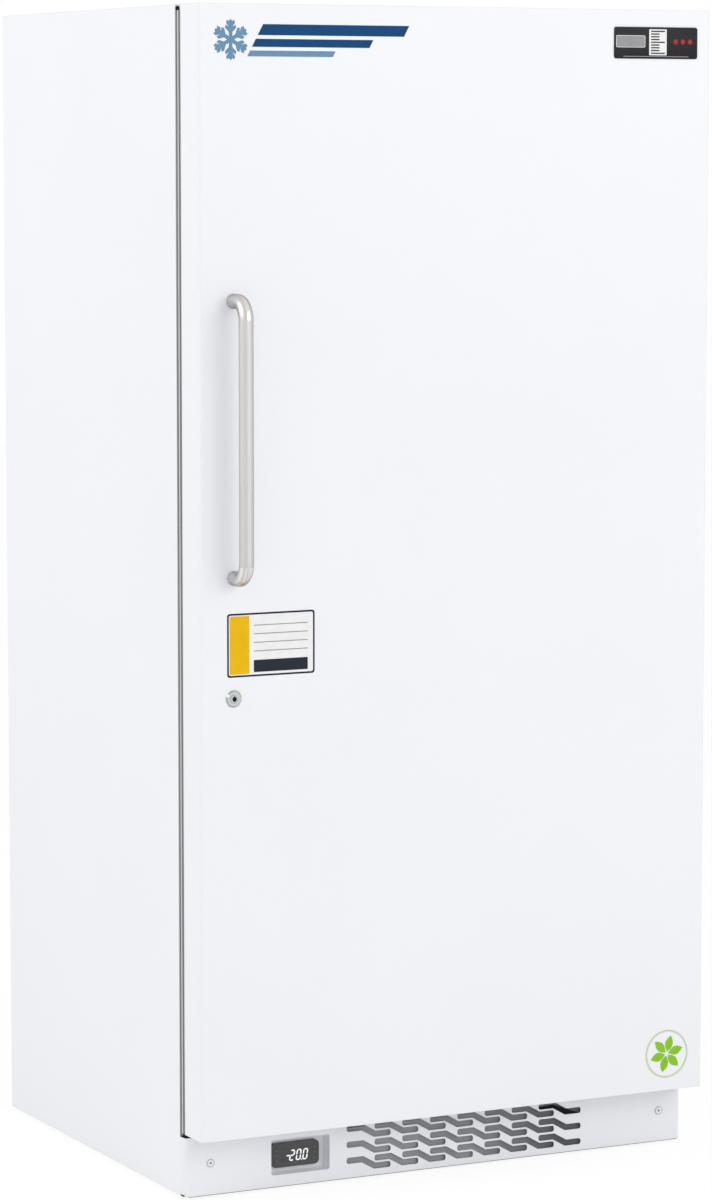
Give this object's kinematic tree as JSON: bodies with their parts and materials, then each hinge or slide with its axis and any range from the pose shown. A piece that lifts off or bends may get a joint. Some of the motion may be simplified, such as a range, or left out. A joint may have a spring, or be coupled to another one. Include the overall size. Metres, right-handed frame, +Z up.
{
  "type": "laboratory freezer",
  "caption": "Upright white laboratory freezer: insulated cabinet, one hinged solid door with bar handle and lock, cooled shelves, slotted kick panel with controller and rear machine bay.",
  "frame": {"origin": "middle of the footprint, handle and inlet included, on the floor under the feet", "axes": "+Z up, -Y towards the user who faces the door, +X to that user's right, where the hinges are"},
  "size_m": [0.812, 0.7598, 1.673],
  "materials": {
    "white_enamel": "satin",
    "liner_white": "satin",
    "insulation": "matte",
    "galvanised": "satin",
    "stainless": "satin",
    "lock_metal": "satin",
    "gasket_grey": "matte",
    "nylon_white": "matte",
    "controller_grey": "satin",
    "window_black": "gloss",
    "filter_grey": "matte",
    "compressor_black": "satin",
    "motor_grey": "satin",
    "coil_aluminium": "satin",
    "black_rubber": "matte",
    "black_plastic": "matte",
    "copper_line": "satin",
    "shelf_white": "satin"
  },
  "bodies": {
    "cabinet": {"side_panel_left": "white_enamel", "side_panel_right": "white_enamel", "top_panel": "white_enamel", "rear_panel": "white_enamel", "underside_panel": "galvanised", "cabinet_foam": "insulation", "cabinet_liner": "liner_white", "breaker_frame": "liner_white", "shelf_rails": "galvanised", "evaporator_shelf_1": "shelf_white", "evaporator_shelf_2": "shelf_white", "evaporator_shelf_3": "shelf_white", "evaporator_shelf_4": "shelf_white", "evaporator_risers": "shelf_white", "temperature_probe": "stainless", "probe_port": "nylon_white", "base_pan": "galvanised", "kick_panel": "white_enamel", "panel_screws": "stainless", "controller_pocket": "white_enamel", "controller_housing": "controller_grey", "controller_window": "window_black", "intake_filter": "filter_grey", "compressor": "compressor_black", "compressor_grommets": "black_rubber", "relay_cover": "black_plastic", "condenser_coil": "coil_aluminium", "fan_shroud": "black_plastic", "fan_motor": "motor_grey", "refrigerant_lines": "copper_line", "rear_cover": "galvanised", "power_inlet": "black_plastic", "hinge_top": "stainless", "hinge_bottom": "stainless", "lock_strike": "stainless"},
    "door": {"door_outer_panel": "white_enamel", "door_foam": "insulation", "door_liner": "liner_white", "door_gasket": "gasket_grey", "door_rack_1": "liner_white", "door_rack_2": "liner_white", "door_rack_3": "liner_white", "door_rack_4": "liner_white", "hinge_bushes": "nylon_white", "door_handle": "stainless", "lock_housing": "lock_metal"},
    "lock": {"lock_plug": "lock_metal", "lock_cam": "lock_metal"},
    "fan": {"fan_blade": "black_plastic"},
    "foot_front_left": {"foot_front_left": "stainless"},
    "foot_front_right": {"foot_front_right": "stainless"},
    "foot_rear_left": {"foot_rear_left": "stainless"},
    "foot_rear_right": {"foot_rear_right": "stainless"},
    "key_1": {"key_1": "controller_grey"},
    "key_2": {"key_2": "controller_grey"},
    "key_3": {"key_3": "controller_grey"},
    "key_4": {"key_4": "controller_grey"},
    "key_5": {"key_5": "controller_grey"},
    "key_6": {"key_6": "controller_grey"}
  },
  "joints": [
    {"name": "door_hinge", "type": "hinge", "parent": "cabinet", "child": "door", "pos_m": [0.392, -0.2999, 0.865], "axis": [0, 0, 1], "range_deg": [0, 120]},
    {"name": "lock_turn", "type": "hinge", "parent": "door", "child": "lock", "pos_m": [-0.3555, -0.2719, 0.718], "axis": [0, -1, 0], "range_deg": [0, 90]},
    {"name": "fan_spin", "type": "hinge", "parent": "cabinet", "child": "fan", "pos_m": [-0.1485, 0.2499, 0.145], "axis": [1, 0, 0], "continuous": true},
    {"name": "foot_front_left_screw", "type": "slide", "parent": "cabinet", "child": "foot_front_left", "axis": [0, 0, -1], "range_m": [0, 0.02]},
    {"name": "foot_front_right_screw", "type": "slide", "parent": "cabinet", "child": "foot_front_right", "axis": [0, 0, -1], "range_m": [0, 0.02]},
    {"name": "foot_rear_left_screw", "type": "slide", "parent": "cabinet", "child": "foot_rear_left", "axis": [0, 0, -1], "range_m": [0, 0.02]},
    {"name": "foot_rear_right_screw", "type": "slide", "parent": "cabinet", "child": "foot_rear_right", "axis": [0, 0, -1], "range_m": [0, 0.02]},
    {"name": "key_1_press", "type": "slide", "parent": "cabinet", "child": "key_1", "axis": [0, 1, 0], "range_m": [0, 0.0005], "stiffness_N_per_m": 400},
    {"name": "key_2_press", "type": "slide", "parent": "cabinet", "child": "key_2", "axis": [0, 1, 0], "range_m": [0, 0.0005], "stiffness_N_per_m": 400},
    {"name": "key_3_press", "type": "slide", "parent": "cabinet", "child": "key_3", "axis": [0, 1, 0], "range_m": [0, 0.0005], "stiffness_N_per_m": 400},
    {"name": "key_4_press", "type": "slide", "parent": "cabinet", "child": "key_4", "axis": [0, 1, 0], "range_m": [0, 0.0005], "stiffness_N_per_m": 400},
    {"name": "key_5_press", "type": "slide", "parent": "cabinet", "child": "key_5", "axis": [0, 1, 0], "range_m": [0, 0.0005], "stiffness_N_per_m": 400},
    {"name": "key_6_press", "type": "slide", "parent": "cabinet", "child": "key_6", "axis": [0, 1, 0], "range_m": [0, 0.0005], "stiffness_N_per_m": 400}
  ]
}
